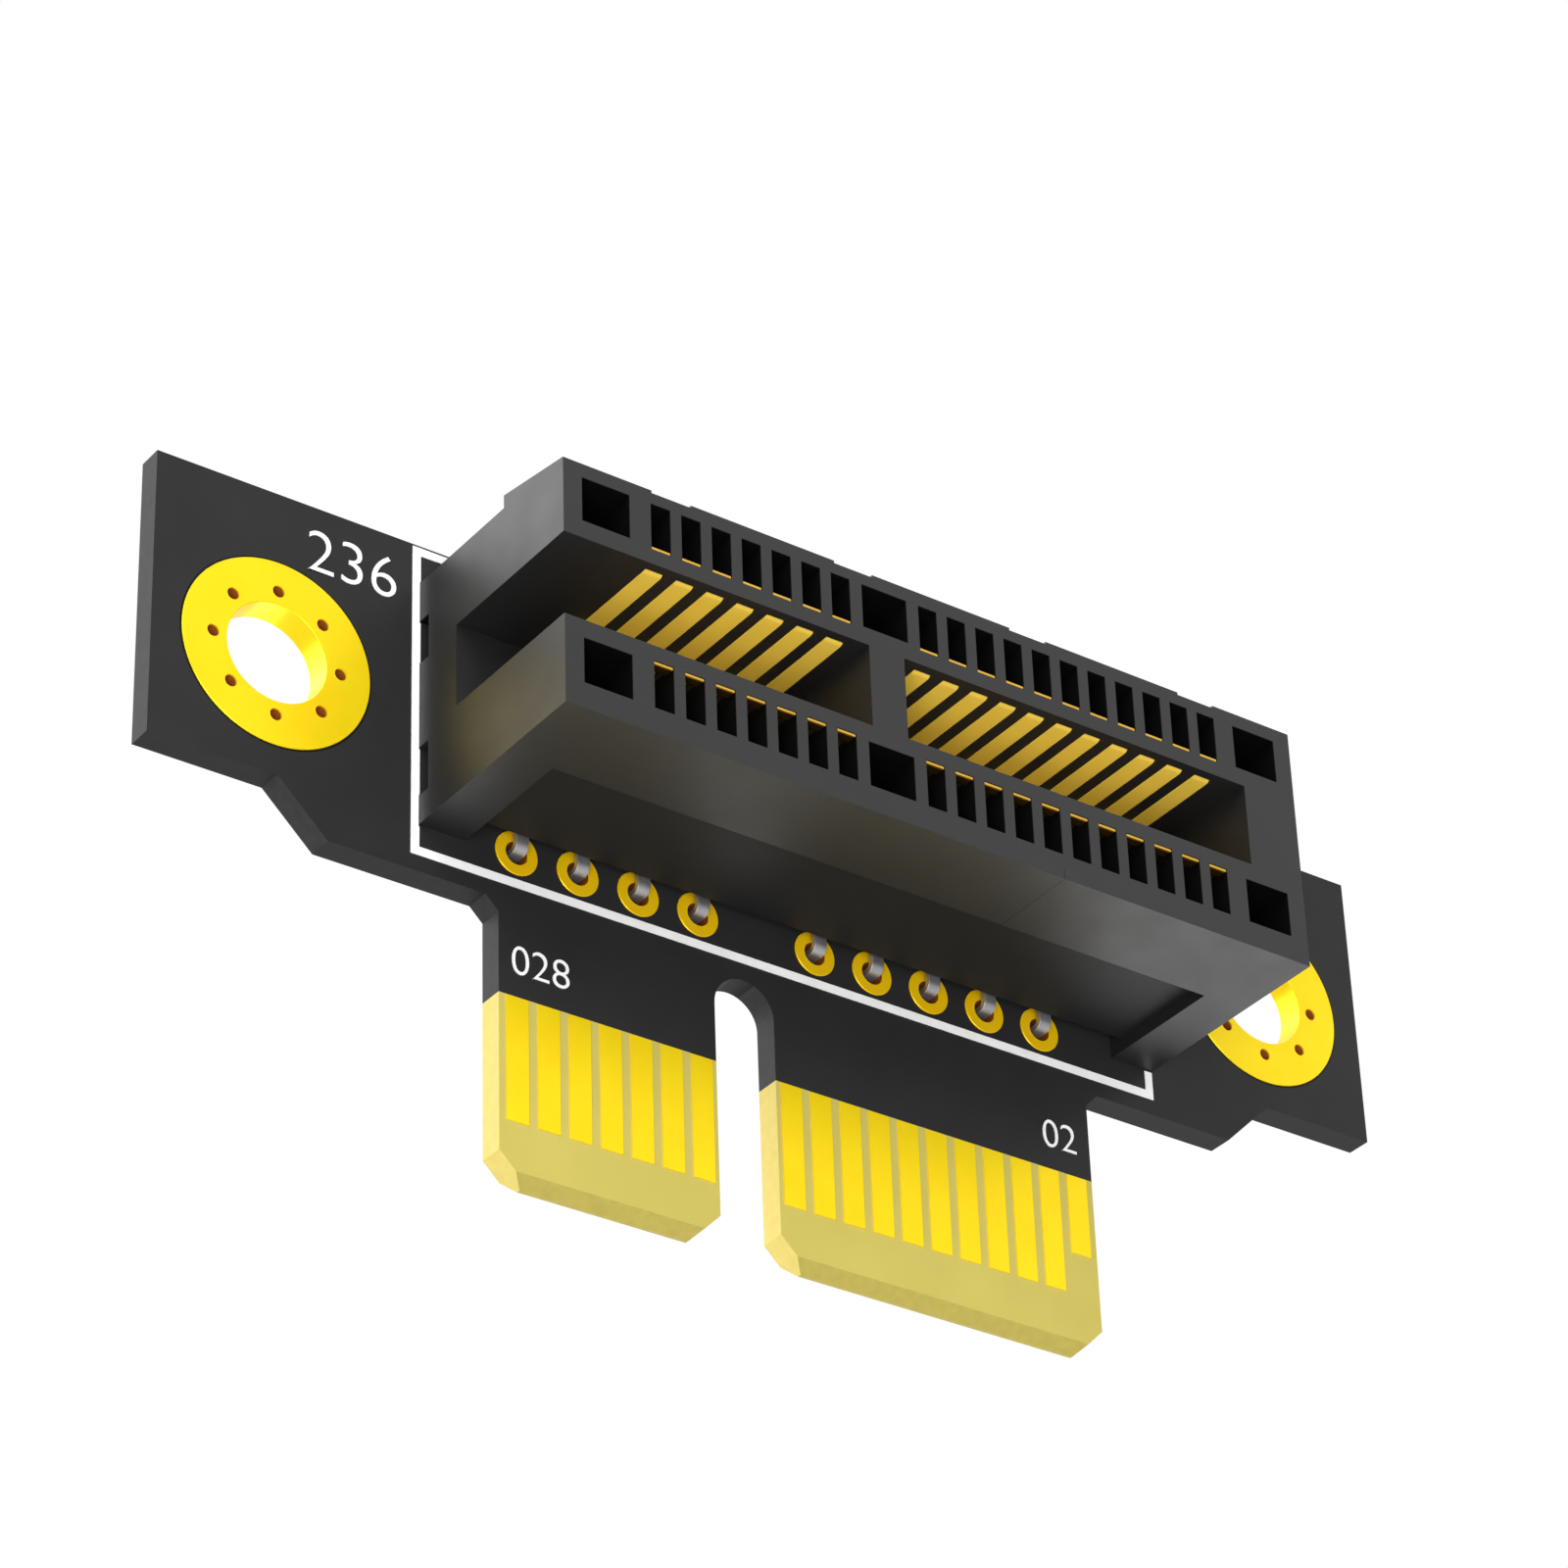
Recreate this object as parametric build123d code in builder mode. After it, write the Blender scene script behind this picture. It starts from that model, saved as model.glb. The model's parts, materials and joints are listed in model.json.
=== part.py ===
"""Upright riser card: a small board with a one-lane edge tongue below and a card slot on its face.

Millimetres, +Z up, +X to the right along the card. The slot's mouth faces -Y.
The origin is on the tongue's bottom edge, at the middle of the key notch and of the board's thickness.
"""

import os

from build123d import *

# Board
board_thickness = 0.8
board_above_axis = 5.05
wing_bottom = 10.1
wing_length = 3.95
wing_slope_run = 1.6
neck_bottom = 8.55
neck_corner = 0.42

# Edge tongue and its key notch
tongue_length = 20.16
tongue_corner = 0.85
bevel_height = 0.33
bevel_depth = 0.34
notch_width = 2.0
notch_top = 8.5

# Contact row, counted from the right-hand end
contact_pitch = 1.0
right_contact_count = 11
left_contact_count = 7
key_gap = 3.0

# Gold fingers
finger_width = 0.7
finger_top = 5.6
finger_bottom = 1.8
short_finger_bottom = 3.1
short_front_finger = 1
short_back_finger = 17
plating_thickness = 0.035

# Mounting holes with their stitched rings
ring_slot_gap = 1.57
ring_end_margin = 0.92
mount_below_axis = 0.17
mount_bore = 3.1
mount_ring_diameter = 5.86
mount_barrel_wall = 0.05
stitch_count = 8
stitch_circle_diameter = 3.97
stitch_bore = 0.36
stitch_wall = 0.04
stitch_sides = 6

# Plated holes for the contact tails: drawn with flats, which keeps the 36 of them light
hole_bore = 0.71
hole_wall = 0.04
hole_land = 1.37
hole_sides = 6
inner_row_offset = 1.96
row_step = 2.0

# Slot housing
slot_axis_height = 14.1
housing_length = 25.3
housing_height = 7.2
housing_below_axis = 4.1
mouth_above_axis = 3.74
shoulder_above_axis = 4.2
rear_above_axis = 3.78
shoulder_height = 4.3
standoff = 0.5
end_block_length = 1.5
side_recess = 0.42
slot_width = 2.64
slot_floor = 1.9
slot_end_clearance = 1.27
key_rib_length = 1.2
key_rib_x = 0.0

# Contact cavities and the larger core openings in the mouth face
cavity_width = 0.64
cavity_inner_offset = 1.8
cavity_outer_offset = 3.3
mouth_bridge = 0.3
core_length = 1.54
core_inner_offset = 1.88
core_depth = 4.6
core_end_distance = 11.28
groove_count = 4
groove_length = 1.3
groove_spacing = 6.1
groove_floor_above_axis = 3.66
groove_shift = 0.02

# Feet and locating pegs under the housing
upper_foot_bottom = 2.5
middle_foot_bottom = -1.64
middle_foot_top = 1.09
lower_foot_top = -3.19
peg_diameter = 2.3
peg_reach = 1.4
peg_chamfer = 0.25
peg_hole_clearance = 0.05
end_peg_distance = 1.65

# Stamped contacts
contact_thickness = 0.2
beam_width = 0.6
tail_width = 0.4
beam_clearance = 0.02
lip_thickness = 0.1
tail_reach = 1.2
beam_ramp_start = 3.9
beam_crest_start = 3.3
beam_crest_end = 3.0
beam_ramp_end = 2.3
crest_rise = 0.55

# Solder joints on the back face
solder_height = 0.5
solder_base = 1.3
solder_bevel = 0.3
solder_sides = 6

# Printed outline round the slot
print_left_margin = 0.23
print_right_margin = -0.01
print_below_axis = 5.05
print_above_axis = 4.97
print_line = 0.26
print_thickness = 0.03
print_clearance = 0.05

# Worked-out places
contact_count = right_contact_count + left_contact_count
row_right_end = key_gap / 2 + (right_contact_count - 1) * contact_pitch
row_left_end = -key_gap / 2 - (left_contact_count - 1) * contact_pitch
card_middle = (row_right_end + row_left_end) / 2
mount_distance = housing_length / 2 + ring_slot_gap + mount_ring_diameter / 2
half_board = mount_distance + mount_ring_diameter / 2 + ring_end_margin
board_top = slot_axis_height + board_above_axis
front_face = -board_thickness / 2
outer_row_offset = inner_row_offset + row_step
housing_left = card_middle - housing_length / 2
housing_right = card_middle + housing_length / 2
slot_right_end = row_right_end + slot_end_clearance
print_left = housing_left - print_left_margin
print_right = housing_right + print_right_margin
print_bottom = slot_axis_height - print_below_axis
print_top = slot_axis_height + print_above_axis
shank_offset = inner_row_offset
contact_numbers = range(1, contact_count + 1)


def card_plane(height=0.0, along=0.0):
    """Plane parallel to the board, this far in front of its front face: local x is X, local y is Z."""
    return Plane(origin=(along, front_face - height, 0), x_dir=(1, 0, 0), z_dir=(0, -1, 0))


def contact_x(number):
    """Place of a contact along the card, the first at the right-hand end."""
    if number <= right_contact_count:
        return row_right_end - (number - 1) * contact_pitch
    return -key_gap / 2 - (number - right_contact_count - 1) * contact_pitch


def is_outer(number):
    """Every second contact is soldered in the row that lies further from the slot."""
    return number % 2 == 0


def hole_places(side, outer):
    """Centres of one row of plated holes: side is -1 below the slot's axis and 1 above it."""
    offset = outer_row_offset if outer else inner_row_offset
    height = slot_axis_height + side * offset
    return [(contact_x(n), height) for n in contact_numbers if is_outer(n) == outer]


def save(builder, name):
    builder.part.label = name
    export_step(builder.part, f"parts/{name}.step")


os.makedirs("parts", exist_ok=True)
all_hole_places = [
    place for side in (-1, 1) for outer in (True, False) for place in hole_places(side, outer)
]
mount_places = [
    (card_middle + side * mount_distance, slot_axis_height - mount_below_axis) for side in (-1, 1)
]
peg_places = [
    (key_rib_x, slot_axis_height),
    (row_right_end + end_peg_distance, slot_axis_height),
]

# Board: half of the outline mirrored about the middle, then the notch, bevels and holes
half_tongue = tongue_length / 2
wing_inner = half_board - wing_length
with BuildPart() as board:
    with BuildSketch(card_plane(along=card_middle)):
        with BuildLine():
            Polyline(
                (0, 0),
                (half_tongue - tongue_corner, 0),
                (half_tongue, tongue_corner),
                (half_tongue, neck_bottom - neck_corner),
                (half_tongue + neck_corner, neck_bottom),
                (wing_inner - wing_slope_run, neck_bottom),
                (wing_inner, wing_bottom),
                (half_board, wing_bottom),
                (half_board, board_top),
                (0, board_top),
            )
            mirror(about=Plane.YZ)
        make_face()
    extrude(amount=-board_thickness)
    with BuildSketch(card_plane()):
        with Locations((0, notch_top - notch_width / 2)):
            Circle(notch_width / 2)
            Rectangle(notch_width, notch_top, align=(Align.CENTER, Align.MAX))
        RegularPolygon(notch_width / 2 + tongue_corner, 4)
    extrude(amount=-board_thickness, mode=Mode.SUBTRACT)
    with BuildSketch(Plane.YZ):
        with BuildLine():
            Polyline(
                (-board_thickness / 2, 0),
                (bevel_depth - board_thickness / 2, 0),
                (-board_thickness / 2, bevel_height),
                close=True,
            )
        make_face()
        mirror(about=Plane.YZ)
    extrude(amount=2 * half_board, both=True, mode=Mode.SUBTRACT)
    with BuildSketch(card_plane()):
        with Locations(*mount_places):
            Circle(mount_bore / 2 + mount_barrel_wall)
            with PolarLocations(stitch_circle_diameter / 2, stitch_count):
                RegularPolygon(
                    stitch_bore / 2 + stitch_wall, stitch_sides, major_radius=False
                )
        with Locations(*peg_places):
            Circle(peg_diameter / 2 + peg_hole_clearance)
        with Locations(*all_hole_places):
            RegularPolygon(hole_bore / 2 + hole_wall, hole_sides, major_radius=False)
    extrude(amount=-board_thickness, mode=Mode.SUBTRACT)
save(board, "board")

# Gold fingers: one pad for each contact on each face, with one short pad on each
for name, plane, reach, short_finger in (
    ("gold_fingers_front", card_plane(), plating_thickness, short_front_finger),
    ("gold_fingers_back", card_plane(-board_thickness), -plating_thickness, short_back_finger),
):
    with BuildPart() as fingers:
        with BuildSketch(plane):
            for number in contact_numbers:
                bottom = short_finger_bottom if number == short_finger else finger_bottom
                with Locations((contact_x(number), finger_top)):
                    Rectangle(
                        finger_width, finger_top - bottom, align=(Align.CENTER, Align.MAX)
                    )
        extrude(amount=reach)
    save(fingers, name)

# Mounting rings: a plated land on each face, joined by the bore's barrel and the stitching barrels
for name, place in zip(("mount_ring_left", "mount_ring_right"), mount_places):
    with BuildPart() as ring:
        with BuildSketch(card_plane()):
            with Locations(place):
                Circle(mount_bore / 2 + mount_barrel_wall)
                with PolarLocations(stitch_circle_diameter / 2, stitch_count):
                    RegularPolygon(
                        stitch_bore / 2 + stitch_wall, stitch_sides, major_radius=False
                    )
        extrude(amount=-board_thickness)
        for plane, reach in (
            (card_plane(), plating_thickness),
            (card_plane(-board_thickness), -plating_thickness),
        ):
            with BuildSketch(plane):
                with Locations(place):
                    Circle(mount_ring_diameter / 2)
            extrude(amount=reach)
        with BuildSketch(card_plane(plating_thickness)):
            with Locations(place):
                Circle(mount_bore / 2)
                with PolarLocations(stitch_circle_diameter / 2, stitch_count):
                    RegularPolygon(stitch_bore / 2, stitch_sides, major_radius=False)
        extrude(amount=-(board_thickness + 2 * plating_thickness), mode=Mode.SUBTRACT)
    save(ring, name)

# Plated holes: a land on the front face and a barrel through the board, one node for each row
for side_name, side in (("a", -1), ("b", 1)):
    for row_name, outer in (("outer", True), ("inner", False)):
        places = hole_places(side, outer)
        with BuildPart() as plated_holes:
            with BuildSketch(card_plane()):
                with Locations(*places):
                    RegularPolygon(
                        hole_bore / 2 + hole_wall, hole_sides, major_radius=False
                    )
            extrude(amount=-board_thickness)
            with BuildSketch(card_plane()):
                with Locations(*places):
                    RegularPolygon(hole_land / 2, hole_sides)
            extrude(amount=plating_thickness)
            with BuildSketch(card_plane(plating_thickness)):
                with Locations(*places):
                    RegularPolygon(hole_bore / 2, hole_sides, major_radius=False)
            extrude(amount=-(board_thickness + plating_thickness), mode=Mode.SUBTRACT)
        save(plated_holes, f"plated_holes_{side_name}_{row_name}")

        # Solder joints: a cone round each tail, standing on the back face
        with BuildPart() as solder:
            with BuildSketch(card_plane(-board_thickness)):
                with Locations(*places):
                    RegularPolygon(solder_base / 2, solder_sides)
            extrude(amount=-solder_height)
            chamfer(solder.edges().group_by(Axis.Y)[-1], solder_bevel)
            with BuildSketch(card_plane(-board_thickness)):
                with Locations(*places):
                    Rectangle(tail_width, contact_thickness)
            extrude(amount=-solder_height, mode=Mode.SUBTRACT)
        save(solder, f"solder_joints_{side_name}_{row_name}")

# Slot housing: the side profile run along the card, then its openings, feet and pegs
housing_bottom = slot_axis_height - housing_below_axis
with BuildPart() as slot_housing:
    with BuildSketch(Plane.YZ.offset(housing_left)):
        with BuildLine():
            Polyline(
                (front_face - standoff, housing_bottom),
                (front_face - housing_height, housing_bottom),
                (front_face - housing_height, slot_axis_height + mouth_above_axis),
                (front_face - shoulder_height, slot_axis_height + shoulder_above_axis),
                (front_face - shoulder_height, slot_axis_height + rear_above_axis),
                (front_face - standoff, slot_axis_height + rear_above_axis),
                close=True,
            )
        make_face()
    extrude(amount=housing_length)

    # Recess along the lower side, between the end blocks
    with BuildSketch(card_plane(standoff)):
        with Locations((card_middle, housing_bottom)):
            Rectangle(
                housing_length - 2 * end_block_length,
                side_recess,
                align=(Align.CENTER, Align.MIN),
            )
    extrude(amount=shoulder_height - standoff, mode=Mode.SUBTRACT)

    # Grooves across the sloped upper edge of the mouth
    with BuildSketch(card_plane(shoulder_height)):
        with Locations((card_middle + groove_shift, slot_axis_height + groove_floor_above_axis)):
            with GridLocations(groove_spacing, 0, groove_count, 1):
                Rectangle(
                    groove_length,
                    shoulder_above_axis - groove_floor_above_axis,
                    align=(Align.CENTER, Align.MIN),
                )
    extrude(amount=housing_height - shoulder_height, mode=Mode.SUBTRACT)

    # Card slot: open through the left end, with the key rib left standing
    with BuildSketch(card_plane(slot_floor)):
        with Locations((housing_left, slot_axis_height)):
            Rectangle(
                slot_right_end - housing_left, slot_width, align=(Align.MIN, Align.CENTER)
            )
        with Locations((key_rib_x, slot_axis_height)):
            Rectangle(key_rib_length, slot_width, mode=Mode.SUBTRACT)
    extrude(amount=housing_height - slot_floor, mode=Mode.SUBTRACT)

    for side in (-1, 1):
        cavity_middle = (cavity_inner_offset + cavity_outer_offset) / 2
        core_middle = (core_inner_offset + cavity_outer_offset) / 2
        wall_middle = (slot_width / 2 + cavity_inner_offset) / 2

        # Cavities behind the small windows of the mouth face
        with BuildSketch(card_plane(slot_floor)):
            with Locations(
                *((contact_x(n), slot_axis_height + side * cavity_middle) for n in contact_numbers)
            ):
                Rectangle(cavity_width, cavity_outer_offset - cavity_inner_offset)
        extrude(amount=housing_height - slot_floor, mode=Mode.SUBTRACT)

        # Openings from the cavities into the slot, closed by a bridge at the mouth
        with BuildSketch(card_plane(slot_floor)):
            with Locations(
                *((contact_x(n), slot_axis_height + side * wall_middle) for n in contact_numbers)
            ):
                Rectangle(cavity_width, cavity_inner_offset - slot_width / 2)
        extrude(amount=housing_height - slot_floor - mouth_bridge, mode=Mode.SUBTRACT)

        # Slits through the floor for the contact shanks
        with BuildSketch(card_plane(standoff)):
            with Locations(
                *((contact_x(n), slot_axis_height + side * shank_offset) for n in contact_numbers)
            ):
                Rectangle(
                    beam_width + 2 * beam_clearance, contact_thickness + 2 * beam_clearance
                )
        extrude(amount=slot_floor - standoff, mode=Mode.SUBTRACT)

        # Core openings at both ends and at the key
        with BuildSketch(card_plane(housing_height)):
            for core_x in (
                card_middle - core_end_distance,
                key_rib_x,
                card_middle + core_end_distance,
            ):
                with Locations((core_x, slot_axis_height + side * core_middle)):
                    Rectangle(core_length, cavity_outer_offset - core_inner_offset)
        extrude(amount=-core_depth, mode=Mode.SUBTRACT)

    # Feet that hold the floor of the housing off the board
    foot_spans = (
        (upper_foot_bottom, rear_above_axis),
        (middle_foot_bottom, middle_foot_top),
        (-housing_below_axis, lower_foot_top),
    )
    with BuildSketch(card_plane()):
        for foot_x, foot_align in ((housing_left, Align.MIN), (housing_right, Align.MAX)):
            for foot_low, foot_high in foot_spans:
                with Locations((foot_x, slot_axis_height + foot_low)):
                    Rectangle(
                        end_block_length, foot_high - foot_low, align=(foot_align, Align.MIN)
                    )
    extrude(amount=standoff)

    # Locating pegs through the board
    with BuildSketch(card_plane(standoff)):
        with Locations(*peg_places):
            Circle(peg_diameter / 2)
    extrude(amount=-(standoff + peg_reach))
    peg_tips = (
        slot_housing.edges()
        .filter_by(GeomType.CIRCLE)
        .filter_by_position(Axis.Y, peg_reach + front_face, peg_reach + front_face)
    )
    chamfer(peg_tips, peg_chamfer)
save(slot_housing, "slot_housing")


def strip_outline(route, thickness):
    """Outline of a strip of even thickness whose middle follows the route, with mitred corners."""
    runs = [(Vector(*b) - Vector(*a)).normalized() for a, b in zip(route, route[1:])]
    runs = [runs[0], *runs, runs[-1]]
    near, far = [], []
    for point, before, after in zip(route, runs, runs[1:]):
        mitre = (before + after).normalized()
        reach = thickness / 2 / mitre.dot(after)
        step = Vector(-mitre.Y, mitre.X) * reach
        near.append(Vector(*point) + step)
        far.append(Vector(*point) - step)
    return near + far[::-1]


# Contacts: a spring beam beside the slot whose tip passes under the bridge of the mouth and
# ends in a thin lip in the window, a shank through the floor and a tail through the board
wall_line = slot_width / 2 + contact_thickness / 2
tip_height = housing_height - mouth_bridge - beam_clearance - contact_thickness / 2
lip_line = cavity_inner_offset + beam_clearance + lip_thickness / 2
lip_route = ((tip_height, lip_line), (housing_height - beam_clearance, lip_line))
tail_bend = standoff / 2
shank_end = standoff + (slot_floor - standoff) / 2
tail_end = -board_thickness - tail_reach
for side_name, side in (("a", -1), ("b", 1)):
    for number in contact_numbers:
        beam_route = (
            (tip_height, lip_line + lip_thickness / 2),
            (tip_height, wall_line),
            (beam_ramp_start, wall_line),
            (beam_crest_start, wall_line - crest_rise),
            (beam_crest_end, wall_line - crest_rise),
            (beam_ramp_end, shank_offset),
            (shank_end, shank_offset),
        )
        if is_outer(number):
            tail_route = (
                (shank_end, shank_offset),
                (tail_bend, shank_offset),
                (tail_bend, outer_row_offset),
                (tail_end, outer_row_offset),
            )
        else:
            tail_route = ((shank_end, shank_offset), (tail_end, shank_offset))
        bend_plane = Plane(
            origin=(contact_x(number), front_face, slot_axis_height),
            x_dir=(0, -1, 0),
            z_dir=(-side, 0, 0),
        )
        with BuildPart() as contact:
            for route, width, thickness in (
                (lip_route, beam_width, lip_thickness),
                (beam_route, beam_width, contact_thickness),
                (tail_route, tail_width, contact_thickness),
            ):
                with BuildSketch(bend_plane):
                    with BuildLine():
                        Polyline(*strip_outline(route, thickness), close=True)
                    make_face()
                extrude(amount=width / 2, both=True)
        save(contact, f"contact_{side_name}{number:02d}")

# Printed outline round the slot, left out where the housing's feet stand on it
with BuildPart() as printed_outline:
    with BuildSketch(card_plane()):
        with Locations((print_left, print_bottom)):
            Rectangle(
                print_right - print_left, print_top - print_bottom, align=(Align.MIN, Align.MIN)
            )
        with Locations((print_left + print_line, print_bottom + print_line)):
            Rectangle(
                print_right - print_left - 2 * print_line,
                print_top - print_bottom - 2 * print_line,
                align=(Align.MIN, Align.MIN),
                mode=Mode.SUBTRACT,
            )
        for foot_low, foot_high in foot_spans:
            for foot_x, foot_align in ((housing_left, Align.MIN), (housing_right, Align.MAX)):
                with Locations((foot_x, slot_axis_height + (foot_low + foot_high) / 2)):
                    Rectangle(
                        end_block_length,
                        foot_high - foot_low + 2 * print_clearance,
                        align=(foot_align, Align.CENTER),
                        mode=Mode.SUBTRACT,
                    )
    extrude(amount=print_thickness)
save(printed_outline, "printed_outline")
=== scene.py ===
"""Looks of the riser card: finishes of every surface, and round forms where the solids have flats.

Metres, in the frame of the solids: +X right along the card, +Z up, the slot's mouth facing -Y.
Lengths of the card are written in millimetres times MM, and tones as sRGB from 0 to 255.
"""

import json
import math

import bpy
from mathutils import Matrix, Vector


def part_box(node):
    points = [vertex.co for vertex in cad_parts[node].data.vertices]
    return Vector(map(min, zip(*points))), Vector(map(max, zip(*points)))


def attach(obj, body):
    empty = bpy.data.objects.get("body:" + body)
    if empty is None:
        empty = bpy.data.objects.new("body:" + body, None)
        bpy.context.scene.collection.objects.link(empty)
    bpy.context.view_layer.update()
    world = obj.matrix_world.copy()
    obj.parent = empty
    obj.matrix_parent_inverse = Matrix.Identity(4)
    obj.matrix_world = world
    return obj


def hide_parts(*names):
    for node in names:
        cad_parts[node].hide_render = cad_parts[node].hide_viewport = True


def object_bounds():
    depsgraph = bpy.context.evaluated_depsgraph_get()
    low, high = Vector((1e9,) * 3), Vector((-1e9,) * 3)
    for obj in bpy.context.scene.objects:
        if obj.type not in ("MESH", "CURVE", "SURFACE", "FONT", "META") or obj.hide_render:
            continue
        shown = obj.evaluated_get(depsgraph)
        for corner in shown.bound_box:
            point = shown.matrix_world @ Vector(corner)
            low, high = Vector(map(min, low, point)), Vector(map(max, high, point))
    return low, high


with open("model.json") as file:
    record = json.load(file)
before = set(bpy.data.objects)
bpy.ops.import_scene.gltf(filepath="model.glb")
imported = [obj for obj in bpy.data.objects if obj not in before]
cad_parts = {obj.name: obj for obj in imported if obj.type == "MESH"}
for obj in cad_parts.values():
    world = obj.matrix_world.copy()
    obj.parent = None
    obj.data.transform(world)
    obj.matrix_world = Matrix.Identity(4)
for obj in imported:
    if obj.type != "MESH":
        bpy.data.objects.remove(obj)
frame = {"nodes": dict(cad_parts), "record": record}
nodes = frame["nodes"]
cad_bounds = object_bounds()
scene = bpy.context.scene
MM = 0.001

# Sizes shared with the solids
contact_count = 18
contact_thickness = 0.2 * MM
beam_width = 0.6 * MM
tail_width = 0.4 * MM
plating = 0.035 * MM
hole_bore = 0.71 * MM
hole_land = 1.37 * MM
mount_bore = 3.1 * MM
stitch_count = 8
stitch_circle = 3.97 * MM
stitch_bore = 0.36 * MM
solder_base = 1.3 * MM
solder_height = 0.5 * MM
finger_top = 5.6 * MM
ink_thickness = 0.03 * MM

# Places read from the frame
board_low, board_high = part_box("board")
front_face = board_low.y
back_face = board_high.y
board_thickness = back_face - front_face
housing_low, housing_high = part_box("slot_housing")
ring_low, ring_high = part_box("mount_ring_left")
mount_ring_radius = (ring_high.x - ring_low.x) / 2
lower_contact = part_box("contact_a02")
upper_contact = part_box("contact_b02")
slot_axis_height = (lower_contact[0].z + upper_contact[1].z) / 2
outer_row_offset = (upper_contact[1].z - lower_contact[0].z) / 2 - contact_thickness / 2
inner_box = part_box("contact_b01")
inner_row_offset = inner_box[1].z - slot_axis_height - contact_thickness / 2
row_directions = {"a": -1, "b": 1}


def middle(node):
    """Middle of a node's box."""
    low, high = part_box(node)
    return (low + high) / 2


def contact_name(side, number):
    return f"contact_{side}{number:02d}"


# Nodes of a material or the world
def feed(socket, value):
    """Links an output to this input, or sets the input's own value."""
    if isinstance(value, bpy.types.NodeSocket):
        socket.id_data.links.new(value, socket)
    else:
        socket.default_value = value


def node_adder(tree):
    """A function that adds a node of some kind, with its settings, and feeds its inputs."""
    def add(kind, inputs=None, **settings):
        node = tree.nodes.new(kind)
        for key, value in settings.items():
            setattr(node, key, value)
        for key, value in (inputs or {}).items():
            feed(node.inputs[key], value)
        return node

    return add


def new_material(name):
    """A material, a function that adds nodes to it and one that feeds its shader."""
    material = bpy.data.materials.new(name)
    material.use_nodes = True
    tree = material.node_tree
    shader = tree.nodes["Principled BSDF"]

    def give(socket, value):
        feed(shader.inputs[socket], value)

    return material, node_adder(tree), give


def place_in_object(add):
    return add("ShaderNodeTexCoord").outputs["Object"]


def axes(add, vector):
    """The X, Y and Z of a vector."""
    return add("ShaderNodeSeparateXYZ", {"Vector": vector}).outputs


def maths(add, operation, *values):
    """The result of a math node. A comparison gives 1 where it holds and 0 elsewhere."""
    return add("ShaderNodeMath", dict(enumerate(values)), operation=operation).outputs["Value"]


def mixed(add, share, first, second):
    """The first colour where the share is 0 and the second where it is 1."""
    return add("ShaderNodeMix", {0: share, 6: first, 7: second}, data_type="RGBA").outputs[2]


def ranged(add, value, low, high, start=0.0, end=1.0):
    """Low up to the start of a value, high from its end on, and in proportion between."""
    inputs = {"Value": value, "From Min": start, "From Max": end, "To Min": low, "To Max": high}
    return add("ShaderNodeMapRange", inputs).outputs["Result"]


def colour(red, green, blue):
    """An sRGB colour in 0 to 255 as the linear values that a shader takes."""
    def linear(value):
        value /= 255
        return value / 12.92 if value <= 0.04045 else ((value + 0.055) / 1.055) ** 2.4

    return (linear(red), linear(green), linear(blue), 1.0)


# Noise lies round 0.5. A tone drifts within the spread of it, another value between the two limits
tone_spread = 0.22
patch_start = 0.3
patch_end = 0.7


def noise(add, place, size, detail):
    """Noise with patches of this size."""
    inputs = {"Vector": place, "Scale": 1 / size, "Detail": detail}
    return add("ShaderNodeTexNoise", inputs).outputs["Fac"]


def mottle(add, place, size, dark, light):
    """A colour that drifts between two tones over patches of this size."""
    ramp = add("ShaderNodeValToRGB", {"Fac": noise(add, place, size, detail=3.0)})
    first, last = ramp.color_ramp.elements
    first.position = 0.5 - tone_spread
    first.color = colour(*dark)
    last.position = 0.5 + tone_spread
    last.color = colour(*light)
    return ramp.outputs["Color"]


def patchy_value(add, place, size, low, high):
    """A value that drifts between two limits over patches of this size."""
    return ranged(add, noise(add, place, size, detail=4.0), low, high, patch_start, patch_end)


def bump(add, height, depth, strength, below=None):
    """The normal of a surface with bumps of this depth, over those below."""
    inputs = {"Height": height, "Distance": depth, "Strength": strength}
    if below is not None:
        inputs["Normal"] = below
    return add("ShaderNodeBump", inputs).outputs["Normal"]


def grain(add, place, size, depth, strength, below=None):
    """Fine bumps of this size and depth, over those below."""
    return bump(add, noise(add, place, size, detail=2.0), depth, strength, below)


# Solder mask and laminate
mask_gap = 0.03 * MM
ring_mask_gap = 0.06 * MM
ring_gap_tone = (13, 12, 10)
face_patch = 2.4 * MM
edge_patch = 0.3 * MM
cut_roughness = 0.6
board_shine = 0.12
weave_pitch = 0.36 * MM
weave_depth = 0.0015 * MM

# Scale of a wave texture times the length from one of its crests to the next trough
half_wave = 0.05 * math.pi

# Parts of a face's unit normal that tell the board's faces apart
least_side_lean = 0.3
most_edge_lean = 0.4
most_cut_lean = 0.9


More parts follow.
